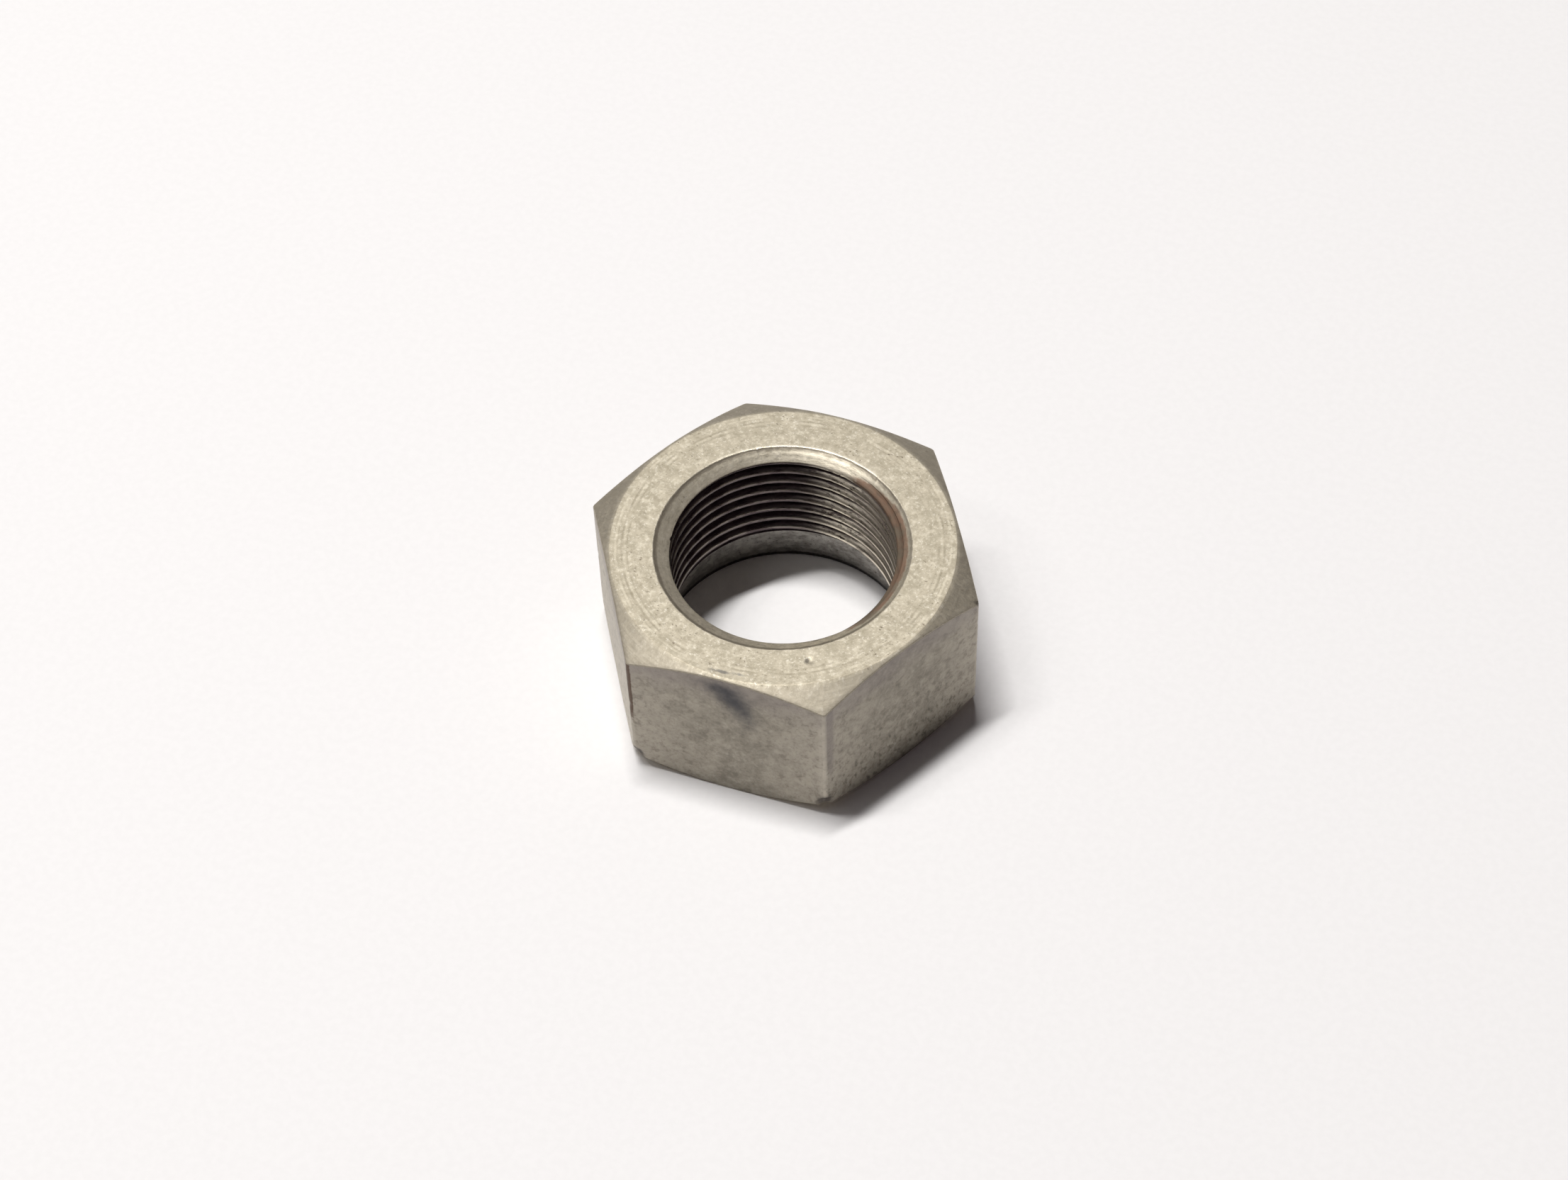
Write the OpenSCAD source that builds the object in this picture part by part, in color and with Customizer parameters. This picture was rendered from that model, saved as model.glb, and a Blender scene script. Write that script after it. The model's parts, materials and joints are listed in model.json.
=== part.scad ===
// Hex nut with a fine right-hand thread, chamfered at both ends, countersunk at the top
// and counterbored at the bottom. It stands on its counterbored face: the origin is the centre
// of that face, +Z runs up the thread's axis, and two of the six corners lie on the X axis.

/* [Hexagon] */
// Width across the flats
across_flats = 35.2; // [34.6:0.1:36]
// Height from face to face
height = 18.4; // [17:0.1:24]
// Diameter of the flat circle that the corner chamfer leaves on the top face
top_land_d = 34.5; // [30:0.1:35.2]
// Diameter of the flat circle that the corner chamfer leaves on the bottom face
bottom_land_d = 34.8; // [30:0.1:35.2]
// Angle between the corner chamfers and the end faces
chamfer_angle = 28.5; // [15:0.5:35]

/* [Thread] */
// Nominal diameter, which is the thread's root diameter inside the nut
thread_d = 24; // [23.8:0.05:24.2]
// Pitch of the thread
pitch = 1.5; // [1.5:0.25:2]
// Diameter across the thread's crests
crest_d = 22.6; // [22.4:0.05:22.9]
// Angle between the two flanks of the thread
flank_angle = 60; // [55:1:60]
// Height above the bottom face at which a thread root crosses the +X side
root_height = 1.15; // [0:0.05:1.4]

/* [Openings] */
// Diameter of the countersink where it meets the top face
countersink_d = 25.7; // [24.8:0.1:27]
// Depth of the steep lip between the top face and the countersink's cone
lip_depth = 0.15; // [0.1:0.05:0.6]
// How much the radius shrinks from the top of that lip to its foot
lip_taper = 0.15; // [0.05:0.05:0.4]
// Included angle of the countersink's cone
countersink_angle = 120; // [90:1:130]
// Diameter of the smooth counterbore in the bottom face
counterbore_d = 26.3; // [25.4:0.1:28]
// Depth of the counterbore's straight wall
counterbore_depth = 4.4; // [2:0.1:6]
// Included angle of the cone between the counterbore and the thread
ledge_angle = 90; // [80:1:120]

/* [Hidden] */

$fn = 96;

// Sections of the thread groove in each turn
steps_per_turn = 36;

corner_r = across_flats / 2 / cos(30);
crest_r = crest_d / 2;
root_r = thread_d / 2;
counterbore_r = counterbore_d / 2;
countersink_r = countersink_d / 2;
cone_r = countersink_r - lip_taper;
ledge_rise = (counterbore_r - crest_r) / tan(ledge_angle / 2);
cone_depth = (cone_r - crest_r) / tan(countersink_angle / 2);

// How far a cutting shape runs past the surface that it cuts
overrun = 1;

// The thread groove's section: a flat of one eighth of the pitch at the root, and two flanks
// that run on inwards past the crests
groove_inner_r = crest_r - 0.2;
root_half = pitch / 16;
mouth_half = root_half + (root_r - groove_inner_r) * tan(flank_angle / 2);

// The groove starts in the open counterbore, below the ledge, and ends above the top face
first_turn = floor((counterbore_depth - mouth_half - root_height) / pitch);
groove_start = root_height + first_turn * pitch;
turns = ceil((height + mouth_half - groove_start) / pitch);

// Hexagonal bar with the two ends turned to a cone, which rounds off each corner in an arc
module turned_hexagon() {
    outer_r = corner_r + overrun;
    top_drop = (outer_r - top_land_d / 2) * tan(chamfer_angle);
    bottom_drop = (outer_r - bottom_land_d / 2) * tan(chamfer_angle);
    intersection() {
        cylinder(r = corner_r, h = height, $fn = 6);
        rotate_extrude() polygon([
            [0, 0],
            [bottom_land_d / 2, 0],
            [outer_r, bottom_drop],
            [outer_r, height - top_drop],
            [top_land_d / 2, height],
            [0, height],
        ]);
    }
}

// Everything that is round inside the nut: counterbore, ledge cone, crest bore and countersink
module opening() {
    rotate_extrude() polygon([
        [0, -overrun],
        [counterbore_r, -overrun],
        [counterbore_r, counterbore_depth],
        [crest_r, counterbore_depth + ledge_rise],
        [crest_r, height - lip_depth - cone_depth],
        [cone_r, height - lip_depth],
        [countersink_r, height],
        [countersink_r, height + overrun],
        [0, height + overrun],
    ]);
}

// The four corners of the groove's section, turned to an angle and raised to a height
function groove_section(angle, z) = [
    for (corner = [
        [groove_inner_r, -mouth_half],
        [root_r, -root_half],
        [root_r, root_half],
        [groove_inner_r, mouth_half],
    ])
    [corner[0] * cos(angle), corner[0] * sin(angle), z + corner[1]]
];

// Right-hand helical groove, swept as one closed band of sections
module thread_groove() {
    sections = turns * steps_per_turn;
    last = 4 * sections;
    points = [
        for (i = [0 : sections])
        each groove_section((i % steps_per_turn) * 360 / steps_per_turn,
                            groove_start + i * pitch / steps_per_turn)
    ];
    sides = [
        for (i = [0 : sections - 1], k = [0 : 3])
        let (a = 4 * i + k, b = 4 * i + (k + 1) % 4)
        each [[b + 4, a + 4, a], [b, b + 4, a]]
    ];
    ends = [[3, 2, 1, 0], [last, last + 1, last + 2, last + 3]];
    polyhedron(points = points, faces = concat(ends, sides), convexity = 10);
}

module nut() {
    color([0.75, 0.71, 0.64])
        difference() {
            turned_hexagon();
            opening();
            thread_groove();
        }
}

nut();
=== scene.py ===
"""Hex nut in worn bright steel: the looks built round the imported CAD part.

The whole nut is one mesh. It is swept round the thread's axis in columns: each column is the
closed outline of the metal at one angle, so the helical thread, the counterbore, the countersink,
the end faces, the corner chamfers and the six flats all share their vertices.
"""

import json
import math

import bpy
import numpy as np
from mathutils import Matrix, Vector, noise


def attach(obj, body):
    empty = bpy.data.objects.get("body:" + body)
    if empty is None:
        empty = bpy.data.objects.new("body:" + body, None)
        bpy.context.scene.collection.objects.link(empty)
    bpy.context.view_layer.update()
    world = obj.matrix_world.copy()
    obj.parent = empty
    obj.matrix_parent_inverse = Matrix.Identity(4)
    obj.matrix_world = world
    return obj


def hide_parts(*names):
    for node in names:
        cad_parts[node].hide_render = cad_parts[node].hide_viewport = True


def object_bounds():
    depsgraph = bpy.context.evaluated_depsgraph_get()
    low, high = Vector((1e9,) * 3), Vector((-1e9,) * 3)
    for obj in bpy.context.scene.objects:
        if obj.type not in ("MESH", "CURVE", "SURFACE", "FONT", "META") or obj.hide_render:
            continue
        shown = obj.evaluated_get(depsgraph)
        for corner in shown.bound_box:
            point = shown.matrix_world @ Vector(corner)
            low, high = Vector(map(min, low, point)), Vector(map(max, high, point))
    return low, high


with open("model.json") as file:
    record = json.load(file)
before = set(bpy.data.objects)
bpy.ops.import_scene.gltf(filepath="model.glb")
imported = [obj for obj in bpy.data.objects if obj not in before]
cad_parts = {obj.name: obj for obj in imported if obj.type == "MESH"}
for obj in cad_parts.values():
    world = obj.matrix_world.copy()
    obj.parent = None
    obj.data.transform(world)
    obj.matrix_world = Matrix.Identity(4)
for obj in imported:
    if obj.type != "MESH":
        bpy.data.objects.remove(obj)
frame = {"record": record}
cad_low, cad_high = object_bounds()

MM = 0.001
TAU = 2 * math.pi
FAR = 1  # metres, well past every part of the nut

# ---------------------------------------------------------------- sizes, in metres

HEIGHT = cad_high.z - cad_low.z
FLAT_R = (cad_high.y - cad_low.y) / 2
MOUNTS = {mount["name"]: mount for mount in frame["record"]["mounts"]}

# Corner chamfers
TOP_LAND_R = 17.25 * MM
BOTTOM_LAND_R = 17.4 * MM
CHAMFER_SLOPE = math.tan(math.radians(28.5))
CORNER_FILLET = 0.45 * MM
LAND_REACH = 0.05 * MM
EDGE_REACH = 0.14 * MM

# Thread
PITCH = 1.5 * MM
ROOT_R = 12.0 * MM
CREST_R = MOUNTS["thread"]["dims"]["r_mm"] * MM
ROOT_HALF = PITCH / 16
FLANK_HALF = ROOT_HALF + (ROOT_R - CREST_R) * math.tan(math.radians(30))
ROOT_HEIGHT = 1.15 * MM

# Round openings
COUNTERBORE_R = MOUNTS["counterbore"]["dims"]["r_mm"] * MM
COUNTERBORE_DEPTH = MOUNTS["counterbore"]["dims"]["length_mm"] * MM
LEDGE_RISE = COUNTERBORE_R - CREST_R
COUNTERSINK_R = 12.85 * MM
LIP_R = 12.7 * MM
LIP_DEPTH = 0.15 * MM
COUNTERSINK_DEPTH = LIP_DEPTH + (LIP_R - CREST_R) / math.tan(math.radians(60))
LIP_SHIFT = -0.2 * MM
RIM_LEDGE = 0.08 * MM
BREAK = 0.15 * MM

# Mesh density
BASE_COLUMNS = 288
CORNER_STEPS = (0.25, 0.5, 0.75, 1.0, 1.6)
BORE_SPACING = 0.4 * MM
BORE_REACH = 0.06 * MM
CREST_REACH = 0.17 * MM
CREST_CURVE, BORE_CURVE, EDGE_CURVE = 4, 3, 4
SHARP_TURN, SLIGHT_TURN = math.radians(12), math.radians(1)
TOP_ROWS, CHAMFER_ROWS, SIDE_ROWS, BOTTOM_ROWS = 26, 5, 50, 12
DENT_STEPS = np.radians(np.arange(-3, 3.1, 0.4))

# Wear, dirt and painted light and shade: lengths and places in millimetres, angles in degrees
# counter-clockwise from +X
CORNERS = (-120, -60, 0, 60, 120, 180)
# The side where the crests are torn and more rounded by wear, and where the thread's painted
# highlight lies
WORN_AND_HIGHLIGHT_SIDE = 77
NICKS, NICK_SEED = 40, 11
DENT_PLACE = (7.1, -12.75, 18.4)
# Place and size of the painted shade on the dent's dark side
DENT_SHADE_PLACE = (6.8, -12.85, 18.4)
DENT_SHADE_SIZE = (0.24, 0.4, 0.5)

# Knocked corners: (angle, height, radius, depth)
KNOCKS = (
    (-60, 1.9, 1.2, 0.35),
    (-120, 1.7, 1.3, 0.35),
    (60, 1.8, 0.8, 0.2),
    (0, 16.9, 0.45, 0.08),
)

# Smudges on the front flat and the chamfer over it: (place, size, share)
SMUDGES = (
    ((-1.0, -17.6, 16.9), (1.6, 1, 1.1), 0.6),
    ((0.3, -17.6, 15.9), (1.6, 1, 1.7), 0.65),
    ((1.5, -17.6, 14.5), (1.5, 1, 2.1), 0.65),
    ((2.3, -17.6, 12.3), (1.2, 1, 2.2), 0.35),
    ((-0.5, -16.62, 18.4), (0.9, 0.2, 0.3), 0.75),
    ((1.25, -16.42, 18.4), (0.7, 0.16, 0.3), 0.65),
    ((-1.6, -16.72, 18.4), (0.4, 0.2, 0.3), 0.55),
)

# The stain in the countersink: how far out it reaches at some angles
STAIN_ANGLES = (-40, 42, 50, 70)
STAIN_RADII = (12.3, 12.45, 12.15, 11.85)

# Light: flat strips over the nut. The first two meet in one thin, slightly bent line of light,
# and the third is wide and dim. Each one is (sideways x, sideways y, run, length, width, power):
# the sideways distance of its middle as a share of its height, its run in degrees
# counter-clockwise from +X, its length and width in metres and its power in watts.
STRIP_HEIGHT = 1.2
STRIPS = (
    (-0.14, 0.05, 45, 0.38, 0.055, 12.8),
    (-0.36, -0.115, 30, 0.26, 0.06, 2.6),
    (-0.45, -0.42, -20, 0.6, 0.144, 1.4),
)
STRIP_COLOUR = (1.0, 0.985, 0.975)
AMBIENT = 0.045
AMBIENT_COLOUR = (1.0, 0.8, 0.88)

# Camera: angles in degrees, the point it aims at as a distance from the nut's centre in metres,
# and the lens and sensor in millimetres
CAMERA_AZIMUTH, CAMERA_ELEVATION, CAMERA_ROLL = -69.538, 52.406, 2.008
CAMERA_DISTANCE = 335.67 * MM
CAMERA_AIM = (-0.526 * MM, 1.224 * MM, 0)
CAMERA_LENS, SENSOR_WIDTH = 75.957, 36

# Floor
FLOOR_R = 6
CARD_DARK, CARD_PALE = (0.88, 0.872, 0.866), (0.9, 0.892, 0.886)
CARD_GLOW = (1.0, 0.99, 0.98)

# Colours of the turned faces
TURNED_DARK, TURNED_PALE = (0.48, 0.432, 0.325), (0.59, 0.534, 0.412)
BLOTCH_DARK, BLOTCH_PALE = (0.36, 0.315, 0.225), (0.88, 0.82, 0.67)
SPECKLE_DARK, SPECKLE_PALE = (0.28, 0.24, 0.17), (0.95, 0.9, 0.78)
RING_DARK, RING_PALE = (0.32, 0.28, 0.2), (0.8, 0.74, 0.59)
TURNED_PIT = (0.16, 0.125, 0.085)
CHAMFER_TINT = (0.5, 0.455, 0.37)
BURR = (1.0, 0.94, 0.78)
TOP_SMUDGE = (0.13, 0.125, 0.12)
# Darker at knocks on the end faces, and painted shade on the dark side of the dent
TOP_KNOCK = (0.1, 0.085, 0.07)

# Colours of the six flats
FLAT_DARK, FLAT_PALE = (0.285, 0.26, 0.212), (0.375, 0.342, 0.282)
MOTTLE_DARK, MOTTLE_PALE = (0.185, 0.162, 0.13), (0.48, 0.44, 0.37)
GRAIN_DARK, GRAIN_PALE = (0.17, 0.15, 0.125), (0.47, 0.43, 0.36)
NEAR_CORNER = (0.52, 0.475, 0.4)
# Painted light: the left flat is paler, where the strip's light falls on it
LIT_FLAT_PALE = (0.66, 0.615, 0.53)
FLAT_PIT = (0.1, 0.088, 0.07)
TOP_BAND = (0.27, 0.235, 0.235)
# Painted shade and highlight on the rounded front edge: a dark strip on its right, a pale one on
# its left
FRONT_EDGE_SHADE = (0.17, 0.145, 0.15)
FRONT_EDGE_HIGHLIGHT = (0.62, 0.57, 0.49)
ARRIS = (0.6, 0.555, 0.47)
RUST = (0.09, 0.045, 0.025)
FLAT_SMUDGE = (0.055, 0.056, 0.066)
FLAT_KNOCK = (0.06, 0.05, 0.045)

# Colours of the thread and the countersink
OIL_DARK, OIL_PALE = (0.06, 0.042, 0.046), (0.12, 0.095, 0.095)
# The crest colours make a painted highlight: a pale line along each crest's upper edge
CREST_DARK, CREST_PALE = (0.12, 0.095, 0.09), (0.36, 0.33, 0.29)
# The bright colour here is a painted highlight on the thread's flanks, broken by darker torn gaps
TORN_DARK, TORN_HIGHLIGHT = (0.16, 0.125, 0.1), (1.0, 0.93, 0.76)
# Painted light: the flanks near the crests are paler on the side where the light falls
LIT_SIDE_PALE = (0.78, 0.7, 0.57)
# The countersink's pale speckle: burnished metal all round, and a painted highlight round its back
BURNISH_AND_HIGHLIGHT = (1.0, 0.92, 0.74)
# Painted shade: the dark line under the countersink's lip
LIP_SHADE = (0.15, 0.115, 0.08)
STAIN_BROWN, STAIN_RED = (0.215, 0.17, 0.12), (0.26, 0.16, 0.105)
STAIN_DARK = (0.12, 0.09, 0.065)

# Colours of the counterbore
BORE_DARK, BORE_PALE = (0.24, 0.225, 0.205), (0.46, 0.435, 0.4)
BORE_PIT = (0.05, 0.045, 0.04)
BORE_LOW = (0.08, 0.075, 0.07)
# Painted contact shadow: the near-black rim where the counterbore meets the floor
BORE_CONTACT_SHADOW = (0.02, 0.018, 0.016)

# Radius at which patterns drawn round the axis have their true size
MIDDLE_R = 15 * MM

# Regions of the surface, which are also the numbers of the mesh's materials
TURNED, FLATS, THREAD, COUNTERBORE = range(4)


# ---------------------------------------------------------------- outlines


def corner_span():
    """Half the angle that a corner's fillet takes, seen from the axis."""
    centre = (FLAT_R - CORNER_FILLET) / math.cos(math.pi / 6)
    return math.atan2(CORNER_FILLET / 2, centre + CORNER_FILLET * math.cos(math.pi / 6))


def hexagon_radius(angle):
    """Distance from the axis to the filleted hexagon at an angle; a corner is at angle 0."""
    off_corner = (angle + math.pi / 6) % (math.pi / 3) - math.pi / 6
    if abs(off_corner) >= corner_span():
        return FLAT_R / math.cos(math.pi / 6 - abs(off_corner))
    centre = (FLAT_R - CORNER_FILLET) / math.cos(math.pi / 6)
    across = centre * math.sin(off_corner)
    return centre * math.cos(off_corner) + math.sqrt(CORNER_FILLET**2 - across**2)


def curve_at(before, corner, after, reach, steps):
    """A short curve of steps points in place of a corner, starting and ending reach from it."""
    to_before = before - corner
    to_after = after - corner
    far_before = np.linalg.norm(to_before)
    far_after = np.linalg.norm(to_after)
    start = corner + to_before / far_before * min(reach, 0.45 * far_before)
    end = corner + to_after / far_after * min(reach, 0.45 * far_after)
    shares = np.linspace(0, 1, steps)[:, None]
    return start * (1 - shares) ** 2 + corner * 2 * shares * (1 - shares) + end * shares**2


def turn_at(before, corner, after):
    """Angle through which an outline turns at a corner."""
    way_in = math.atan2(*(corner - before))
    way_out = math.atan2(*(after - corner))
    return abs((way_out - way_in + math.pi) % TAU - math.pi)


def thread_outline(angle, low, high):
    """(radius, height) points of the thread at an angle, from below low to above high."""
    first = ROOT_HEIGHT + PITCH * angle / TAU
    lowest = math.floor((low - first) / PITCH) - 1
    highest = math.ceil((high - first) / PITCH) + 1
    section = (
        (CREST_R, -FLANK_HALF),
        (ROOT_R, -ROOT_HALF),
        (ROOT_R, ROOT_HALF),
        (CREST_R, FLANK_HALF),
    )
    turns = range(lowest, highest + 1)
    return np.array([(r, first + n * PITCH + z) for n in turns for r, z in section])


def opening_outline():
    """(radius, height) points of the counterbore, the ledge, the crest bore and the countersink."""
    return np.array([
        (COUNTERBORE_R + BREAK, 0),
        (COUNTERBORE_R, BREAK),
        (COUNTERBORE_R, COUNTERBORE_DEPTH),
        (CREST_R, COUNTERBORE_DEPTH + LEDGE_RISE),
        (CREST_R, HEIGHT - COUNTERSINK_DEPTH),
        (LIP_R, HEIGHT - LIP_DEPTH),
        (COUNTERSINK_R, HEIGHT),
    ])


def furthest_out(first, second):
    """The outline that has the larger radius of two outlines at each height of the second."""
    heights = np.unique(np.concatenate([first[:, 1], second[:, 1]]).round(9))
    heights = heights[(heights >= second[0, 1]) & (heights <= second[-1, 1])]
    gap = np.interp(heights, *first.T[::-1]) - np.interp(heights, *second.T[::-1])
    crossing = np.nonzero(gap[:-1] * gap[1:] < 0)[0]
    share = gap[crossing] / (gap[crossing] - gap[crossing + 1])
    crossed = heights[crossing] + share * (heights[crossing + 1] - heights[crossing])
    heights = np.sort(np.concatenate([heights, crossed]))
    radii = np.maximum(np.interp(heights, *first.T[::-1]), np.interp(heights, *second.T[::-1]))
    return np.column_stack([radii, heights])


def without_doubles(points, smallest=0.004 * MM):
    """The outline as a list, without points closer than smallest to the one before."""
    kept = [points[0]]
    for point in points[1:]:
        if np.linalg.norm(point - kept[-1]) > smallest:
            kept.append(point)
    kept[-1] = points[-1]
    return kept


def rounded(corners, crest_reach):
    """The bore's outline with its corners curved and its slightest bends left out."""
    points = [corners[0]]
    for before, corner, after in zip(corners, corners[1:], corners[2:]):
        turn = turn_at(before, corner, after)
        on_crest = corner[0] < CREST_R + 0.01 * MM
        if turn > SHARP_TURN and on_crest:
            points.extend(curve_at(before, corner, after, crest_reach, CREST_CURVE))
        elif turn > SHARP_TURN:
            points.extend(curve_at(before, corner, after, BORE_REACH, BORE_CURVE))
        elif turn > SLIGHT_TURN:
            points.append(corner)
    points.append(corners[-1])
    return points


def spaced(points):
    """The outline with extra points, so that none are further than BORE_SPACING apart."""
    column = [points[0]]
    for start, end in zip(points, points[1:]):
        parts = max(1, math.ceil(np.linalg.norm(end - start) / BORE_SPACING))
        column.extend(start + (end - start) * k / parts for k in range(1, parts + 1))
    return np.array(column)


def bore_column(angle):
    """The inside of the nut at one angle, from the bottom face up to the top face."""
    corners = without_doubles(furthest_out(thread_outline(angle, 0, HEIGHT), opening_outline()))
    corners.append(np.array([COUNTERSINK_R + RIM_LEDGE, HEIGHT]))
    off_worn = (angle - math.radians(WORN_AND_HIGHLIGHT_SIDE) + math.pi) % TAU - math.pi
    worn = math.exp(-((off_worn / 0.35) ** 2))
    return spaced(rounded(corners, CREST_REACH * (1 + 0.9 * worn)))


def outer_column(angle):
    """The outside at one angle, from the countersink's mouth over the top and down to the
    counterbore, with the region of each step. Every column has the same number of points."""
    radius = hexagon_radius(angle)
    corners = [np.array(point) for point in (
        (COUNTERSINK_R + RIM_LEDGE, HEIGHT),
        (TOP_LAND_R, HEIGHT),
        (radius, HEIGHT - (radius - TOP_LAND_R) * CHAMFER_SLOPE),
        (radius, (radius - BOTTOM_LAND_R) * CHAMFER_SLOPE),
        (BOTTOM_LAND_R, 0),
        (COUNTERBORE_R + BREAK, 0),
    )]
    rows = (TOP_ROWS, CHAMFER_ROWS, SIDE_ROWS, CHAMFER_ROWS, BOTTOM_ROWS)
    reaches = (LAND_REACH, EDGE_REACH, EDGE_REACH, LAND_REACH)
    stretches = (TURNED, TURNED, FLATS, TURNED, TURNED)
    column = [corners[0]]
    regions = []
    for k, (count, region) in enumerate(zip(rows, stretches)):
        start = column[-1]
        last = k == len(rows) - 1
        bend = None if last else curve_at(*corners[k:k + 3], reaches[k], EDGE_CURVE)
        end = corners[k + 1] if last else bend[0]
        column.extend(start + (end - start) * j / count for j in range(1, count + 1))
        regions.extend([region] * count)
        if not last:
            column.extend(bend[1:])
            regions.extend([region, TURNED, stretches[k + 1]])
    return np.array(column), regions


def column_angles():
    """Angles of the columns: even steps, with close ones at each corner's fillet and the dent."""
    angles = set(round(k * TAU / BASE_COLUMNS, 9) for k in range(BASE_COLUMNS))
    for corner in range(6):
        for step in CORNER_STEPS:
            for side in (-1, 1):
                angles.add(round((corner * TAU / 6 + side * step * corner_span()) % TAU, 9))
    dent = math.atan2(DENT_PLACE[1], DENT_PLACE[0])
    angles.update(round((dent + step) % TAU, 9) for step in DENT_STEPS)
    return sorted(angles)


# ---------------------------------------------------------------- mesh


def bore_region(points):
    """Region of a face in the bore, from the (radius, height) of its corners."""
    radius, height = np.mean(points, axis=0)
    above_ledge = height - COUNTERBORE_DEPTH - (COUNTERBORE_R - radius)
    return COUNTERBORE if above_ledge < 0.02 * MM else THREAD


def zip_bore(left, right, left_ids, right_ids):
    """Faces between two neighbouring bore columns, joining the points that lie closest."""
    faces = []
    regions = []
    i = j = 0
    while i < len(left) - 1 or j < len(right) - 1:
        can_left = i < len(left) - 1
        can_right = j < len(right) - 1
        both = np.hypot(*(left[i + 1] - right[j + 1])) if can_left and can_right else math.inf
        only_left = np.hypot(*(left[i + 1] - right[j])) if can_left else math.inf
        only_right = np.hypot(*(left[i] - right[j + 1])) if can_right else math.inf
        if both <= min(only_left, only_right):
            face = (left_ids[i], left_ids[i + 1], right_ids[j + 1], right_ids[j])
            corners = (left[i], left[i + 1], right[j + 1], right[j])
            i, j = i + 1, j + 1
        elif only_left < only_right:
            face = (left_ids[i], left_ids[i + 1], right_ids[j])
            corners = (left[i], left[i + 1], right[j])
            i += 1
        else:
            face = (left_ids[i], right_ids[j + 1], right_ids[j])
            corners = (left[i], right[j + 1], right[j])
            j += 1
        faces.append(face)
        regions.append(bore_region(corners))
    return faces, regions


def swept_nut():
    """Vertices, faces and face regions of the unworn nut."""
    angles = column_angles()
    points = []
    bores = []
    outers = []
    for angle in angles:
        bore = bore_column(angle)
        outer, outer_regions = outer_column(angle)
        first = len(points)
        loop = np.concatenate([bore, outer[1:-1]])
        points.extend((r * math.cos(angle), r * math.sin(angle), z) for r, z in loop)
        bores.append((bore, range(first, first + len(bore))))
        ids = [first + len(bore) - 1, *range(first + len(bore), first + len(loop)), first]
        outers.append(ids)
    faces = []
    regions = []
    for k in range(len(angles)):
        nearby = (k + 1) % len(angles)
        more, more_regions = zip_bore(bores[k][0], bores[nearby][0], bores[k][1], bores[nearby][1])
        faces.extend(more)
        regions.extend(more_regions)
        a, b = outers[k], outers[nearby]
        faces.extend((a[row], a[row + 1], b[row + 1], b[row]) for row in range(len(a) - 1))
        regions.extend(outer_regions)
    return np.array(points), faces, regions


# ---------------------------------------------------------------- shares of points


def window(values, low, high, soft):
    """1 between low and high, with edges that fade over soft."""
    rise = np.clip((values - low) / soft + 0.5, 0, 1)
    fall = np.clip((high - values) / soft + 0.5, 0, 1)
    return rise * fall


def bell(values, middle, width):
    """1 at middle, falling smoothly to 0 over about width."""
    return np.exp(-(((values - middle) / width) ** 2))


def blob(points, middle, size):
    """1 at middle, falling to 0 over about size, which is one length or one for each axis.
    Both are in millimetres."""
    return np.exp(-(((points - np.array(middle) * MM) / (np.array(size) * MM)) ** 2).sum(1))


def polar(points):
    """Each point's distance from the axis, its angle in degrees from +X, and its height."""
    radius = np.hypot(points[:, 0], points[:, 1])
    degrees = np.degrees(np.arctan2(points[:, 1], points[:, 0]))
    return radius, degrees, points[:, 2]


# ---------------------------------------------------------------- wear


def noise_at(points, size, seed):
    """Smooth noise from -1 to 1 at each point, with lumps of about that size."""
    shift = Vector((seed * 7.1, seed * 3.7, seed * 5.3))
    return np.array([noise.noise(Vector(p) / size + shift) for p in points])


def outward(points):
    """Direction away from the middle of the metal, square to the surface the point lies on."""
    radius = np.hypot(points[:, 0], points[:, 1])
    angle = np.arctan2(points[:, 1], points[:, 0])
    flat = np.round((angle - math.pi / 6) / (math.pi / 3)) * math.pi / 3 + math.pi / 6
    on_top = points[:, 2] > HEIGHT - 0.05 * MM
    on_bottom = points[:, 2] < 0.05 * MM
    direction = np.column_stack([np.cos(flat), np.sin(flat), np.zeros(len(points))])
    direction[on_top] = (0, 0, 1)
    direction[on_bottom] = (0, 0, -1)
    direction[(radius < 13.4 * MM) & ~on_top & ~on_bottom] = 0
    return direction


def press(points, centre, radius, push, roughness=0.35, seed=1):
    """Moves the points near centre by up to push, with an uneven rim."""
    centre = np.array(centre)
    near = np.nonzero(np.linalg.norm(points - centre, axis=1) < 1.6 * radius)[0]
    uneven = 1 + roughness * noise_at(points[near], radius * 0.5, seed)
    far = np.linalg.norm(points[near] - centre, axis=1) / (radius * uneven)
    share = np.clip(1 - far**2, 0, 1) ** 2
    points[near] += share[:, None] * np.array(push)


def corner_point(degrees, height):
    """A point on the vertical edge of the corner at an angle."""
    angle = math.radians(degrees)
    radius = hexagon_radius(angle)
    return np.array([radius * math.cos(angle), radius * math.sin(angle), height])


def towards_axis(place, rise=0.0):
    """A direction from a place towards the axis, with an upward part of rise."""
    direction = -place / np.linalg.norm(place[:2])
    direction[2] = rise
    return direction


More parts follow.
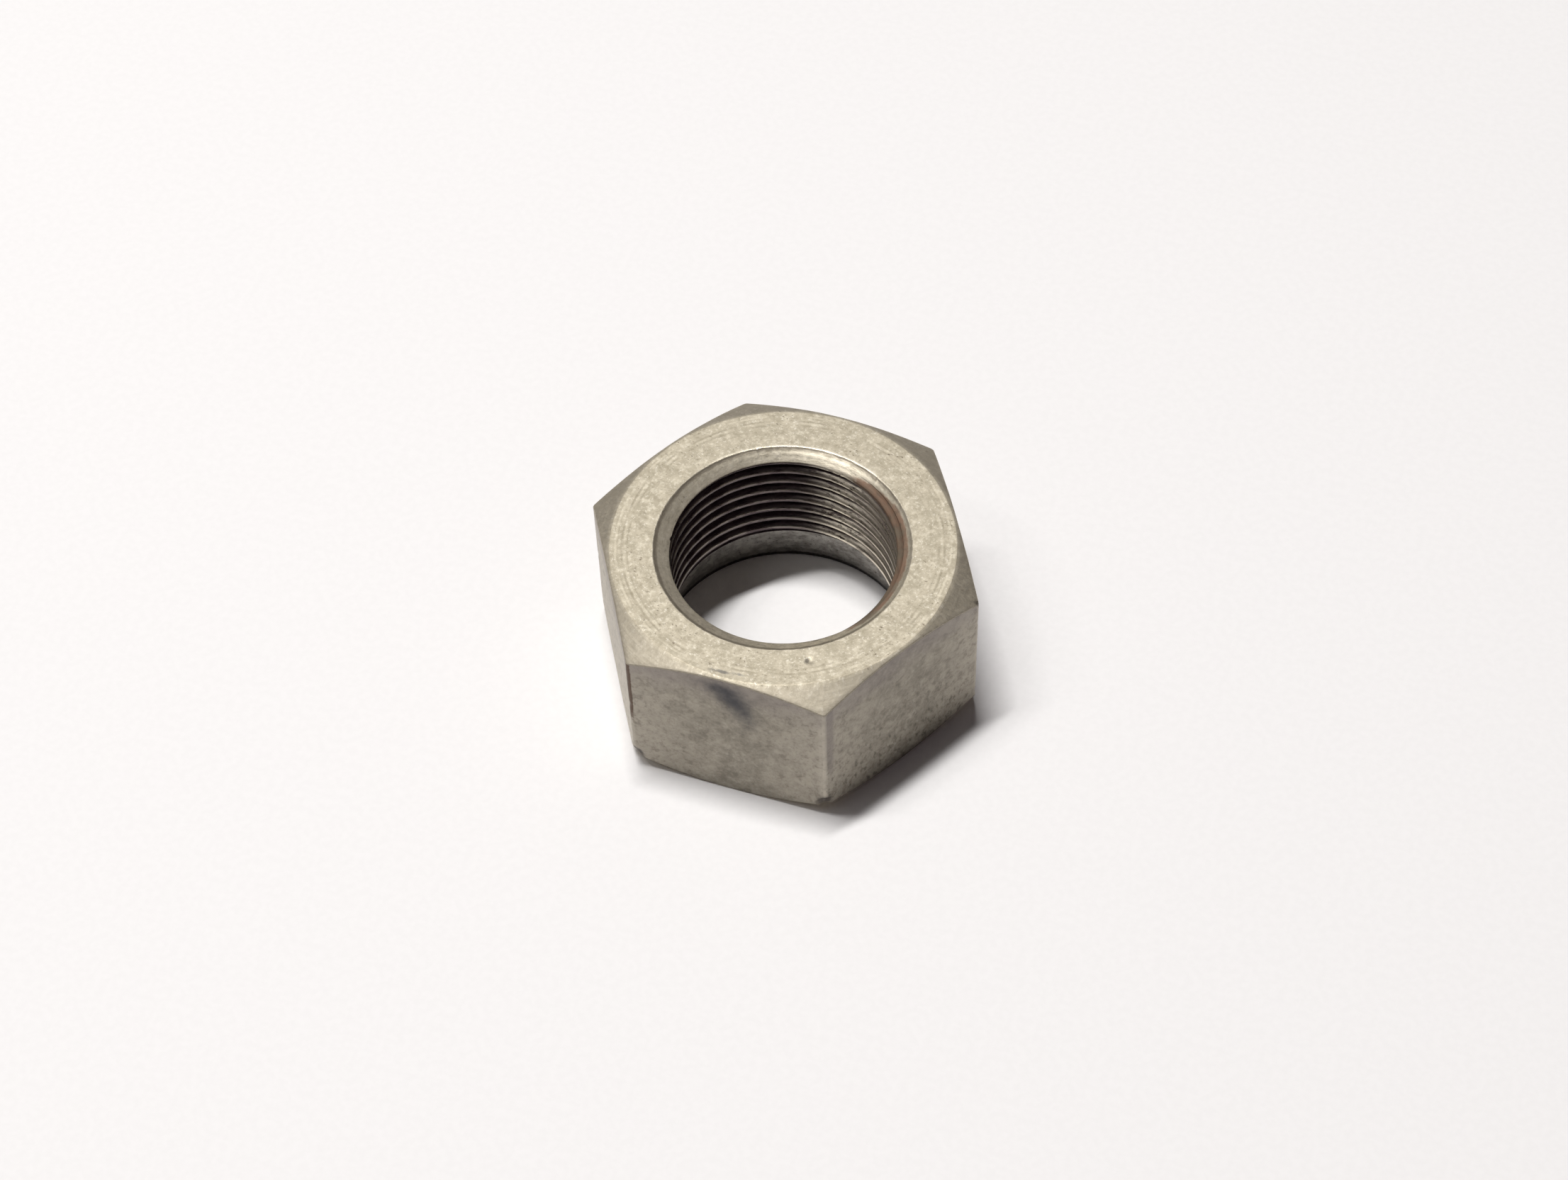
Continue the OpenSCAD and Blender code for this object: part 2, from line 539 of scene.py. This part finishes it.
def wear_outside(points):
    """Slight waviness, a dent in the top face, knocked corners and small nicks in the edges."""
    out = outward(points)
    wave = 0.02 * MM * noise_at(points, 4.5 * MM, 1) + 0.006 * MM * noise_at(points, 1.1 * MM, 2)
    wave[np.abs(out[:, 2]) > 0.5] *= 0.3
    points += out * (wave - 0.012 * MM)[:, None]
    press(points, np.array(DENT_PLACE) * MM, 0.6 * MM, (0.04 * MM, 0, -0.1 * MM), seed=3)
    for degrees, height, radius, depth in KNOCKS:
        place = corner_point(degrees, height * MM)
        push = towards_axis(place, 0.5) * depth * MM
        press(points, place, radius * MM, push, seed=degrees)
    draw = np.random.default_rng(NICK_SEED)
    for _ in range(NICKS):
        degrees = draw.choice(CORNERS) + draw.normal(0, 0.4)
        place = corner_point(degrees, draw.uniform(1.5 * MM, HEIGHT - 1.8 * MM))
        radius = draw.uniform(0.3, 0.7) * MM
        push = towards_axis(place) * draw.uniform(0.03, 0.1) * MM
        press(points, place, radius, push, seed=5)


def wear_lip(points):
    """The countersink's mouth is a little off the thread's axis, and its rim is slightly torn."""
    radius = np.hypot(points[:, 0], points[:, 1])
    mouth = window(radius, 11.9 * MM, 13.6 * MM, 0.8 * MM)
    mouth *= points[:, 2] > HEIGHT - COUNTERSINK_DEPTH
    points[:, 1] += LIP_SHIFT * mouth
    rim = np.nonzero(np.abs(radius - COUNTERSINK_R) < 0.45 * MM)[0]
    rim = rim[points[rim, 2] > HEIGHT - 0.6 * MM]
    torn = noise_at(points[rim], 0.45 * MM, 8) + 0.6 * noise_at(points[rim], 0.2 * MM, 9)
    points[rim, :2] *= (1 + 0.035 * MM * torn / radius[rim])[:, None]
    points[rim, 2] -= 0.03 * MM * np.clip(noise_at(points[rim], 0.3 * MM, 10), 0, 1)


def wear_thread(points):
    """Torn crests on the side that took the load; elsewhere they are only slightly uneven."""
    radius = np.hypot(points[:, 0], points[:, 1])
    crest = (radius < CREST_R + 0.35 * MM) & (points[:, 2] > 5.5 * MM)
    crest &= points[:, 2] < HEIGHT - COUNTERSINK_DEPTH - 0.1 * MM
    rough = np.clip(noise_at(points[crest], 0.6 * MM, 6) * 1.6 - 0.3, 0, 1)
    rough += 0.4 * np.clip(noise_at(points[crest], 0.25 * MM, 7), 0, 1)
    angle = np.arctan2(points[crest, 1], points[crest, 0])
    loaded = 0.2 + 0.8 * bell(angle, math.radians(WORN_AND_HIGHLIGHT_SIDE), 0.25)
    points[crest, :2] *= (1 + 0.09 * MM * rough * loaded / radius[crest])[:, None]


# ---------------------------------------------------------------- marks


def outside_marks(points):
    """Marks on the six flats, along their vertical edges and on the chamfers, with painted light on
    the left flat and painted light and shade beside the front edge.
    """
    radius, degrees, height = polar(points)
    outside = radius > FLAT_R - 0.3 * MM
    from_corner = radius * np.radians(np.abs((degrees + 30) % 60 - 30))
    from_left_corner = np.linalg.norm(points[:, :2] - corner_point(-120, 0)[:2], axis=1)
    along_right_flat = np.array([math.cos(math.pi / 3), math.sin(math.pi / 3), 0])
    beside = (points - corner_point(-60, 0)) @ along_right_flat
    rust_height = window(height, 8 * MM, HEIGHT - 0.5 * MM, 5 * MM)
    edge_shade_height = window(height, 7 * MM, FAR, 6 * MM)
    low_right = np.clip((12 * MM - height) / (9 * MM), 0, 1) * window(degrees, -62, -2, 6)
    return {
        "rust": window(from_left_corner, -FAR, 0.32 * MM, 0.2 * MM) * rust_height,
        # painted shade in a strip right of the front edge, and a painted highlight on its left
        "front_edge_shade": window(beside, 0.1 * MM, 1.0 * MM, 0.7 * MM) * edge_shade_height * outside,
        "front_edge_highlight": window(beside, -0.35 * MM, 0.05 * MM, 0.25 * MM) * outside,
        "arris": window(from_corner, -FAR, 0.22 * MM, 0.2 * MM) * outside,
        "near_corner": bell(from_corner, 0, 4.5 * MM) * outside,
        # painted light on the left flat
        "painted_lit_flat": window(degrees, -179, -121, 2) * outside,
        "pitted": 0.2 + 0.8 * low_right,
        "bevel": window(radius, TOP_LAND_R + 0.15 * MM, FAR, 0.6 * MM),
    }


def dirt_and_shade_marks(points):
    """Smudges, darker patches at the knocked corners, and painted shade on the dark side of the
    dent.
    """
    smudge = sum(share * blob(points, place, size) for place, size, share in SMUDGES)
    # painted shade on the dark side of the dent, then darker patches at the knocked corners
    knocked = 0.9 * blob(points, DENT_SHADE_PLACE, DENT_SHADE_SIZE)
    for degrees, height, radius, _ in KNOCKS:
        knocked += blob(points, corner_point(degrees, height * MM) / MM, 0.8 * radius)
    return {"smudge": smudge, "knocked": knocked}


def opening_marks(points):
    """Marks on the countersink and round its mouth."""
    radius, degrees, height = polar(points)
    cone_slope = (LIP_R - CREST_R) / (COUNTERSINK_DEPTH - LIP_DEPTH)
    cone_radius = LIP_R + (height - HEIGHT + LIP_DEPTH) * cone_slope
    faced = window(radius - cone_radius, -FAR, 0.07 * MM, 0.06 * MM)
    faced *= window(height, HEIGHT - COUNTERSINK_DEPTH - 0.02 * MM, FAR, 0.06 * MM)
    widest = np.interp(degrees, STAIN_ANGLES, STAIN_RADII) * MM
    stain = window(degrees, -38, 70, 14) * window(radius, 11.0 * MM, widest, 0.3 * MM)
    stain *= window(height, HEIGHT - 2.1 * MM, HEIGHT, 0.5 * MM)
    # painted shade on the steep wall under the lip, weaker on the right
    lip_shade = bell(radius, LIP_R - 0.02 * MM, 0.12 * MM) * (height > HEIGHT - LIP_DEPTH - 0.15 * MM)
    lip_shade *= 1 - 0.8 * window(degrees, -20, 45, 20)
    burr = bell(radius, COUNTERSINK_R + 0.12 * MM, 0.12 * MM) * (height > HEIGHT - 0.1 * MM)
    burr *= 0.75 * window(degrees, 55, 150, 30)
    # burnished speckle all round, with a painted highlight round the back near 85 degrees
    burnish_and_highlight = 0.35 + 0.65 * bell(degrees, 85, 28)
    return {"faced": faced, "stain": stain, "lip_shade": lip_shade, "burr": burr, "burnish_and_highlight": burnish_and_highlight}


def thread_marks(points):
    """Where the thread gets painted light on its lit side and a painted highlight, and the painted
    highlight line just over each crest.
    """
    radius, degrees, height = polar(points)
    turn = (height - ROOT_HEIGHT) / PITCH - degrees / 360
    over_crest = (turn % 1 - 0.5) * PITCH
    return {
        # painted highlight on the thread, round the side where the light's reflection falls
        "thread_highlight": bell(degrees, WORN_AND_HIGHLIGHT_SIDE, 13),
        # painted light: the side of the thread where the light falls
        "lit_side": 0.95 * window(degrees, -25, 70, 30),
        # painted highlight along each crest's upper edge
        "edge": bell(over_crest, 0.2 * MM, 0.1 * MM),
    }


def marks(points):
    """How much of each mark lies at each point, from 0 to 1."""
    return {
        **outside_marks(points),
        **dirt_and_shade_marks(points),
        **opening_marks(points),
        **thread_marks(points),
    }


# ---------------------------------------------------------------- materials


class Shader:
    """A material's node tree, built from the texture coordinates towards the surface."""

    def __init__(self, name):
        self.material = bpy.data.materials.new(name)
        self.material.use_nodes = True
        self.tree = self.material.node_tree
        self.surface = self.tree.nodes["Principled BSDF"]
        self.place = self.node("ShaderNodeTexCoord").outputs["Object"]

    def node(self, kind, settings=None, **inputs):
        """A new node. An input is given by its name, or by its number as _0, _1 and so on."""
        made = self.tree.nodes.new(kind)
        for key, value in (settings or {}).items():
            setattr(made, key, value)
        for key, value in inputs.items():
            number = key[1:]
            which = int(number) if number.isdigit() else key.replace("_", " ")
            self.feed(made.inputs[which], value)
        return made

    def feed(self, socket, value):
        """Links a node's output to a socket, or sets a plain number, vector or colour on it."""
        if isinstance(value, bpy.types.NodeSocket):
            self.tree.links.new(value, socket)
        elif socket.type == "RGBA":
            socket.default_value = (*value, 1)
        else:
            socket.default_value = value

    def math(self, operation, first, second, third=0.0):
        settings = {"operation": operation}
        return self.node("ShaderNodeMath", settings, _0=first, _1=second, _2=third).outputs[0]

    def vector(self, operation, first, second=(0, 0, 0)):
        settings = {"operation": operation}
        return self.node("ShaderNodeVectorMath", settings, _0=first, _1=second).outputs[0]

    def from_axis(self):
        flat = self.vector("MULTIPLY", self.place, (1, 1, 0))
        made = self.node("ShaderNodeVectorMath", {"operation": "LENGTH"}, _0=flat)
        return made.outputs["Value"]

    def height(self):
        return self.node("ShaderNodeSeparateXYZ", _0=self.place).outputs["Z"]

    def stretched(self, x, y, z):
        """Coordinates whose unit lump is x by y by z."""
        return self.vector("MULTIPLY", self.place, (1 / x, 1 / y, 1 / z))

    def round_axis(self, along, across):
        """Coordinates whose unit lump is along long round the axis and across wide."""
        way = self.vector("NORMALIZE", self.vector("MULTIPLY", self.place, (1, 1, 0)))
        turn = self.vector("MULTIPLY", way, (MIDDLE_R / along,) * 3)
        level = self.math("MULTIPLY", self.math("ADD", self.from_axis(), self.height()), 1 / across)
        return self.vector("ADD", turn, self.node("ShaderNodeCombineXYZ", Z=level).outputs[0])

    def noise(self, size, detail=3.0, rough=0.55, place=None):
        """Noise from 0 to 1, with lumps of about that size."""
        made = self.node("ShaderNodeTexNoise", Scale=1 / size, Detail=detail, Roughness=rough)
        self.feed(made.inputs["Vector"], place or self.place)
        return made.outputs["Fac"]

    def rings(self, size, detail=2.0):
        """Noise that changes only with the distance from the axis."""
        settings = {"noise_dimensions": "1D"}
        made = self.node("ShaderNodeTexNoise", settings, Scale=1 / size, Detail=detail)
        self.feed(made.inputs["W"], self.from_axis())
        return made.outputs["Fac"]

    def mask(self, name):
        """A mark's share."""
        return self.node("ShaderNodeAttribute", {"attribute_name": name}).outputs["Fac"]

    def ramp(self, value, low, high, start=0.0, end=1.0):
        """Start where the value is low, and end where it is high, with a smooth step between."""
        settings = {"interpolation_type": "SMOOTHSTEP"}
        limits = {"_1": low, "_2": high, "_3": start, "_4": end}
        return self.node("ShaderNodeMapRange", settings, _0=value, **limits).outputs["Result"]

    def broken(self, name, size, strength, low=0.15, high=0.75):
        """A mark's share, with an edge broken up by lumps of about that size."""
        uneven = self.math("MULTIPLY_ADD", self.noise(size, 3), 0.7, -0.35)
        return self.ramp(self.math("ADD", self.mask(name), uneven), low, high, 0, strength)

    def mix(self, share, first, second):
        made = self.node("ShaderNodeMix", {"data_type": "RGBA"}, _0=share, _6=first, _7=second)
        return made.outputs[2]

    def tint(self, colour, value, low, high, strength, other):
        """The colour, with up to strength of another one where the value goes past high."""
        return self.mix(self.ramp(value, low, high, 0, strength), colour, other)

    def bump(self, height, distance, strength=1.0, normal=None):
        made = self.node("ShaderNodeBump", Strength=strength, Distance=distance, Height=height)
        if normal is not None:
            self.feed(made.inputs["Normal"], normal)
        return made.outputs["Normal"]

    def finish(self, colour, roughness, normal, metallic=1.0):
        self.feed(self.surface.inputs["Base Color"], colour)
        self.feed(self.surface.inputs["Roughness"], roughness)
        self.feed(self.surface.inputs["Metallic"], metallic)
        self.feed(self.surface.inputs["Normal"], normal)
        return self.material


def ringed(s, colour, rings):
    """The colour, with patches of thin turning lines near the outer edge of an end face."""
    near_edge = s.ramp(s.from_axis(), 14.2 * MM, 16.2 * MM, 0.08, 1.0)
    patchy = s.math("MULTIPLY", near_edge, s.ramp(s.noise(3 * MM, 2), 0.42, 0.6, 0.1, 1.0))
    dark_line = s.math("MULTIPLY", patchy, s.ramp(rings, 0.52, 0.64, 0, 0.5))
    colour = s.mix(dark_line, colour, RING_DARK)
    pale_line = s.math("MULTIPLY", patchy, s.ramp(rings, 0.46, 0.34, 0, 0.4))
    return s.mix(pale_line, colour, RING_PALE)


def turned_look(s, relief=0.6):
    """Colour, roughness and normal of a turned face: satin, blotched, with fine turning marks."""
    cloud = s.ramp(s.noise(1.3 * MM, 5, 0.6), 0.35, 0.65)
    colour = s.mix(cloud, TURNED_DARK, TURNED_PALE)
    blotch = s.noise(0.6 * MM, 4, 0.65)
    colour = s.tint(colour, blotch, 0.5, 0.68, 0.45, BLOTCH_PALE)
    colour = s.tint(colour, blotch, 0.47, 0.32, 0.45, BLOTCH_DARK)
    speckle = s.noise(1.0, 4, 0.7, place=s.round_axis(0.3 * MM, 0.24 * MM))
    colour = s.tint(colour, speckle, 0.55, 0.7, 0.65, SPECKLE_PALE)
    colour = s.tint(colour, speckle, 0.43, 0.3, 0.4, SPECKLE_DARK)
    pits = s.noise(1.0, 2, place=s.stretched(0.42 * MM, 0.3 * MM, 0.4 * MM))
    pitted = s.ramp(s.noise(3.5 * MM, 2), 0.42, 0.6)
    pits = s.math("MULTIPLY", s.ramp(pits, 0.62, 0.7, 0, 0.75), pitted)
    colour = s.mix(pits, colour, TURNED_PIT)
    rings = s.rings(0.3 * MM, 4)
    colour = ringed(s, colour, rings)
    roughness = s.ramp(speckle, 0.3, 0.7, 0.58, 0.46)
    normal = s.bump(rings, 0.006 * MM, relief)
    normal = s.bump(blotch, 0.03 * MM, relief, normal)
    normal = s.bump(speckle, 0.012 * MM, relief, normal)
    return colour, roughness, normal


def turned_steel():
    """The faced ends, and the corner chamfers, which are a little darker and more metallic."""
    s = Shader("turned_steel")
    colour, roughness, normal = turned_look(s)
    bevel = s.mask("bevel")
    colour = s.mix(s.math("MULTIPLY", bevel, 0.6), colour, CHAMFER_TINT)
    colour = s.mix(s.broken("burr", 0.25 * MM, 0.7), colour, BURR)
    colour = s.mix(s.broken("smudge", 0.5 * MM, 0.75), colour, TOP_SMUDGE)
    # Darker at the knocked corners, and painted shade on the dark side of the dent
    colour = s.mix(s.broken("knocked", 0.4 * MM, 0.7), colour, TOP_KNOCK)
    roughness = s.math("ADD", roughness, 0.06)
    return s.finish(colour, roughness, normal, s.math("MULTIPLY_ADD", bevel, 0.45, 0.5))


def rolled_steel():
    """The six flats: matt, cloudy and softly pitted, paler near the corners and greyer on top,
    with painted light on the left flat and painted light and shade beside the front edge.
    """
    s = Shader("rolled_steel")
    cloud = s.ramp(s.noise(2.0 * MM, 4, 0.6), 0.35, 0.65)
    colour = s.mix(cloud, FLAT_DARK, FLAT_PALE)
    colour = s.mix(s.math("MULTIPLY", s.mask("near_corner"), 0.5), colour, NEAR_CORNER)
    # Painted light on the left flat
    colour = s.mix(s.math("MULTIPLY", s.mask("painted_lit_flat"), 0.85), colour, LIT_FLAT_PALE)
    mottle = s.noise(0.9 * MM, 5, 0.65)
    colour = s.tint(colour, mottle, 0.52, 0.68, 0.55, MOTTLE_PALE)
    colour = s.tint(colour, mottle, 0.5, 0.34, 0.55, MOTTLE_DARK)
    grain = s.noise(0.35 * MM, 5, 0.7)
    colour = s.tint(colour, grain, 0.5, 0.66, 0.4, GRAIN_PALE)
    colour = s.tint(colour, grain, 0.5, 0.34, 0.4, GRAIN_DARK)
    upright = s.noise(1.0, 4, 0.6, place=s.stretched(0.55 * MM, 0.55 * MM, 0.9 * MM))
    pits = s.math("MULTIPLY", s.mask("pitted"), s.ramp(upright, 0.5, 0.7, 0, 0.72))
    colour = s.mix(pits, colour, FLAT_PIT)
    level = s.math("MULTIPLY_ADD", s.noise(3 * MM, 3), 5 * MM, s.height())
    colour = s.tint(colour, level, 16 * MM, 20 * MM, 0.4, TOP_BAND)
    # Painted shade and a painted highlight beside the rounded front edge
    colour = s.mix(s.broken("front_edge_shade", 0.9 * MM, 0.4), colour, FRONT_EDGE_SHADE)
    colour = s.mix(s.broken("front_edge_highlight", 0.8 * MM, 0.18), colour, FRONT_EDGE_HIGHLIGHT)
    colour = s.mix(s.broken("arris", 0.7 * MM, 0.3), colour, ARRIS)
    colour = s.mix(s.broken("rust", 0.4 * MM, 0.85), colour, RUST)
    colour = s.mix(s.broken("smudge", 1.1 * MM, 0.9, 0.0, 1.1), colour, FLAT_SMUDGE)
    colour = s.mix(s.broken("knocked", 0.4 * MM, 0.8), colour, FLAT_KNOCK)
    roughness = s.ramp(grain, 0.3, 0.7, 0.5, 0.64)
    normal = s.bump(upright, 0.05 * MM, 0.5)
    normal = s.bump(mottle, 0.04 * MM, 0.5, normal)
    normal = s.bump(grain, 0.02 * MM, 0.5, normal)
    return s.finish(colour, roughness, normal, 0.8)


def thread_colour(s, along, torn):
    """Old oil, a painted highlight as a pale line over each crest, flanks painted paler on the lit
    side, and a bright torn painted highlight on the flanks of the highlight side.
    """
    oiled = s.mix(s.ramp(along, 0.4, 0.6), OIL_DARK, OIL_PALE)
    # The crest line: a painted highlight along each crest's upper edge
    worn = s.mix(s.ramp(along, 0.38, 0.56), CREST_DARK, CREST_PALE)
    colour = s.mix(s.mask("edge"), oiled, worn)
    depth = s.math("MULTIPLY_ADD", along, 0.5 * MM, s.from_axis())
    # Painted light: paler flanks near the crests on the lit side
    lit_flank = s.ramp(depth, CREST_R + 0.85 * MM, CREST_R + 0.4 * MM)
    colour = s.mix(s.math("MULTIPLY", s.mask("lit_side"), lit_flank), colour, LIT_SIDE_PALE)
    bright = s.mix(s.ramp(torn, 0.37, 0.47), TORN_DARK, TORN_HIGHLIGHT)
    # Painted highlight: the upper flanks near the crests on the highlight side, bright with torn
    # gaps
    highlight_flank = s.ramp(depth, CREST_R + 0.68 * MM, CREST_R + 0.5 * MM)
    return s.mix(s.math("MULTIPLY", s.mask("thread_highlight"), highlight_flank), colour, bright)


def stain_colour(s, torn):
    """Brown to red-brown, with darker flecks."""
    colour = s.mix(s.ramp(s.noise(2.5 * MM, 3), 0.4, 0.6), STAIN_BROWN, STAIN_RED)
    return s.tint(colour, torn, 0.5, 0.34, 0.6, STAIN_DARK)


def thread_steel():
    """The thread: nearly black with old oil, with a painted highlight as a pale line along each
    crest's upper edge, and painted paler, with a bright painted highlight, on the side where the
    light falls. The countersink above is turned like the end faces, with painted shade under its
    lip, burnished speckle rising to a painted highlight round its back, and a brown stain on the
    same side as the paler thread."""
    s = Shader("thread_steel")
    along = s.noise(1.0, 4, 0.6, place=s.round_axis(2.4 * MM, 0.5 * MM))
    torn = s.noise(1.0, 4, 0.7, place=s.round_axis(1.3 * MM, 0.38 * MM))
    faced = s.mask("faced")
    turned_colour, turned_roughness, normal = turned_look(s, s.math("MULTIPLY", faced, 0.6))
    # Burnished speckle on the countersink, rising to a painted highlight round its back
    burnish_and_highlight = s.math("MULTIPLY", s.mask("burnish_and_highlight"), s.ramp(torn, 0.36, 0.56, 0.25, 1.0))
    turned_colour = s.mix(burnish_and_highlight, turned_colour, BURNISH_AND_HIGHLIGHT)
    colour = s.mix(faced, thread_colour(s, along, torn), turned_colour)
    # painted shade under the lip
    colour = s.mix(s.broken("lip_shade", 0.5 * MM, 0.5), colour, LIP_SHADE)
    stain = s.broken("stain", 0.5 * MM, 0.95)
    colour = s.mix(stain, colour, stain_colour(s, torn))
    roughness = s.ramp(along, 0.3, 0.7, 0.26, 0.36)
    roughness = s.math("MULTIPLY_ADD", s.mask("thread_highlight"), 0.14, roughness)
    rougher = s.math("SUBTRACT", s.math("SUBTRACT", turned_roughness, 0.12), roughness)
    roughness = s.math("MULTIPLY_ADD", faced, rougher, roughness)
    roughness = s.math("MULTIPLY_ADD", stain, 0.25, roughness)
    metallic = s.math("MULTIPLY_ADD", faced, -0.2, 0.92)
    metallic = s.math("MULTIPLY_ADD", stain, -0.35, metallic)
    return s.finish(colour, roughness, normal, metallic)


def bored_steel():
    """The smooth counterbore: grey, pitted and blotched, darker towards the bottom, with a painted
    contact shadow as a black rim at the floor.
    """
    s = Shader("bored_steel")
    cloud = s.ramp(s.noise(1.0, 5, 0.65, place=s.round_axis(1.6 * MM, 0.8 * MM)), 0.35, 0.65)
    colour = s.mix(cloud, BORE_DARK, BORE_PALE)
    grain = s.noise(0.35 * MM, 4, 0.7)
    colour = s.tint(colour, grain, 0.55, 0.7, 0.7, BORE_PIT)
    level = s.math("MULTIPLY_ADD", grain, 0.5 * MM, s.height())
    colour = s.tint(colour, level, 1.7 * MM, 1.3 * MM, 0.45, BORE_LOW)
    # painted contact shadow at the floor
    colour = s.tint(colour, level, 1.0 * MM, 0.7 * MM, 0.9, BORE_CONTACT_SHADOW)
    roughness = s.ramp(grain, 0.3, 0.7, 0.34, 0.5)
    normal = s.bump(grain, 0.03 * MM, 0.6)
    return s.finish(colour, roughness, normal)


# ---------------------------------------------------------------- stage


def white_floor():
    """A wide round sheet of white card that the nut stands on, lit evenly further out."""
    place = (0, 0, cad_low.z)
    bpy.ops.mesh.primitive_circle_add(vertices=96, radius=FLOOR_R, fill_type="NGON", location=place)
    floor = bpy.context.object
    floor.name = "floor"
    s = Shader("white_card")
    fine = s.noise(0.8 * MM, 3)
    colour = s.mix(s.ramp(fine, 0.3, 0.7), CARD_DARK, CARD_PALE)
    floor.data.materials.append(s.finish(colour, 0.85, s.bump(fine, 0.003 * MM, 0.2), 0.0))
    s.feed(s.surface.inputs["Emission Color"], CARD_GLOW)
    s.feed(s.surface.inputs["Emission Strength"], s.ramp(s.from_axis(), 0.25, 1.6, 0, 0.8))


def strip_light(target, across_x, across_y, run, length, width, power):
    """One flat strip over the nut, shining straight down."""
    data = bpy.data.lights.new("strip", "AREA")
    data.shape = "RECTANGLE"
    data.size, data.size_y = length, width
    data.energy = power
    data.color = STRIP_COLOUR
    light = bpy.data.objects.new("strip", data)
    light.location = Vector(target) + Vector((across_x, across_y, 1)) * STRIP_HEIGHT
    light.rotation_euler = (0, 0, math.radians(run))
    bpy.context.scene.collection.objects.link(light)


def studio(target):
    """A faint even light from all round, and the strips over the nut."""
    world = bpy.data.worlds.new("studio")
    bpy.context.scene.world = world
    world.use_nodes = True
    background = world.node_tree.nodes["Background"]
    background.inputs["Color"].default_value = (*AMBIENT_COLOUR, 1)
    background.inputs["Strength"].default_value = AMBIENT
    for strip in STRIPS:
        strip_light(target, *strip)
    bpy.context.scene.view_settings.view_transform = "Standard"


def camera(target):
    """The camera looks down at the nut from the front right, tilted slightly to one side."""
    azimuth, elevation = math.radians(CAMERA_AZIMUTH), math.radians(CAMERA_ELEVATION)
    data = bpy.data.cameras.new("camera")
    data.sensor_width = SENSOR_WIDTH
    data.lens = CAMERA_LENS
    data.clip_start, data.clip_end = 0.01, 10
    cam = bpy.data.objects.new("camera", data)
    back = Vector((
        math.cos(azimuth) * math.cos(elevation),
        math.sin(azimuth) * math.cos(elevation),
        math.sin(elevation),
    ))
    cam.location = Vector(target) + Vector(CAMERA_AIM) + back * CAMERA_DISTANCE
    cam.rotation_mode = "QUATERNION"
    upright = (-back).to_track_quat("-Z", "Y")
    tilt = Matrix.Rotation(math.radians(CAMERA_ROLL), 3, -back).to_quaternion()
    cam.rotation_quaternion = tilt @ upright
    bpy.context.scene.collection.objects.link(cam)
    bpy.context.scene.camera = cam


# ---------------------------------------------------------------- the nut


def nut_mesh():
    """The worn nut's mesh, with its materials and its marks."""
    points, faces, regions = swept_nut()
    shares = marks(points)
    wear_outside(points)
    wear_thread(points)
    wear_lip(points)
    mesh = bpy.data.meshes.new("hex_nut")
    mesh.from_pydata(points.tolist(), [], faces)
    for material in (turned_steel(), rolled_steel(), thread_steel(), bored_steel()):
        mesh.materials.append(material)
    mesh.polygons.foreach_set("material_index", regions)
    for name, share in shares.items():
        values = share.astype(np.float32)
        mesh.attributes.new(name, "FLOAT", "POINT").data.foreach_set("value", values)
    mesh.shade_smooth()
    mesh.update()
    return mesh


def build_nut():
    nut = bpy.data.objects.new("hex_nut", nut_mesh())
    nut.location = ((cad_low.x + cad_high.x) / 2, (cad_low.y + cad_high.y) / 2, cad_low.z)
    bpy.context.scene.collection.objects.link(nut)
    weighted = nut.modifiers.new("weighted_normals", "WEIGHTED_NORMAL")
    weighted.mode = "FACE_AREA"
    weighted.weight = 50
    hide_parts("nut")
    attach(nut, "root")


centre = (cad_low + cad_high) / 2
white_floor()
studio(centre)
camera(centre)
build_nut()
